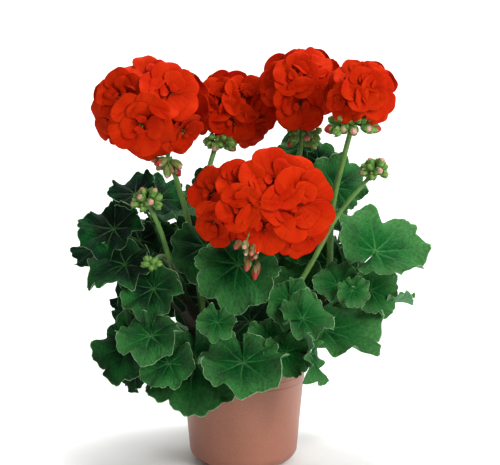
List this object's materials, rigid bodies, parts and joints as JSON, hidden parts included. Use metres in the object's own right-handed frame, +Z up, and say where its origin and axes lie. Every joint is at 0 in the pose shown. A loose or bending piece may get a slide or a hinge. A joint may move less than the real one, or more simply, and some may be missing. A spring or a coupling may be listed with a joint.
{
  "type": "potted geranium",
  "caption": "Zonal geranium in full flower: globes of ruffled red florets on tall green stalks over crinkled round leaves, in a plain round terracotta-coloured plastic pot.",
  "frame": {"origin": "centre of the pot's underside, where it rests", "axes": "+Z up along the pot's axis; the side of the plant that the flowers face looks along -Y, and +X is to its right as seen from the front"},
  "size_m": [0.3507, 0.2886, 0.402],
  "materials": {
    "pot": "satin",
    "soil": "matte",
    "leaf": "matte",
    "stalk": "matte",
    "petal": "matte"
  },
  "bodies": {
    "root": {"pot": "pot", "soil": "soil", "stem_left": "leaf", "stem_frontLeft": "leaf", "stem_middle": "leaf", "stem_front": "leaf", "stem_right": "leaf", "stem_back": "leaf", "stem_backLeft": "leaf", "stalk_a": "stalk", "stalk_b": "stalk", "stalk_c": "stalk", "stalk_d": "stalk", "stalk_e": "stalk", "stalk_budsLeft": "stalk", "stalk_budsSmall": "stalk", "stalk_budsRight": "stalk", "head_a": "petal", "head_b": "petal", "head_c": "petal", "head_d": "petal", "head_e": "petal"}
  },
  "joints": []
}
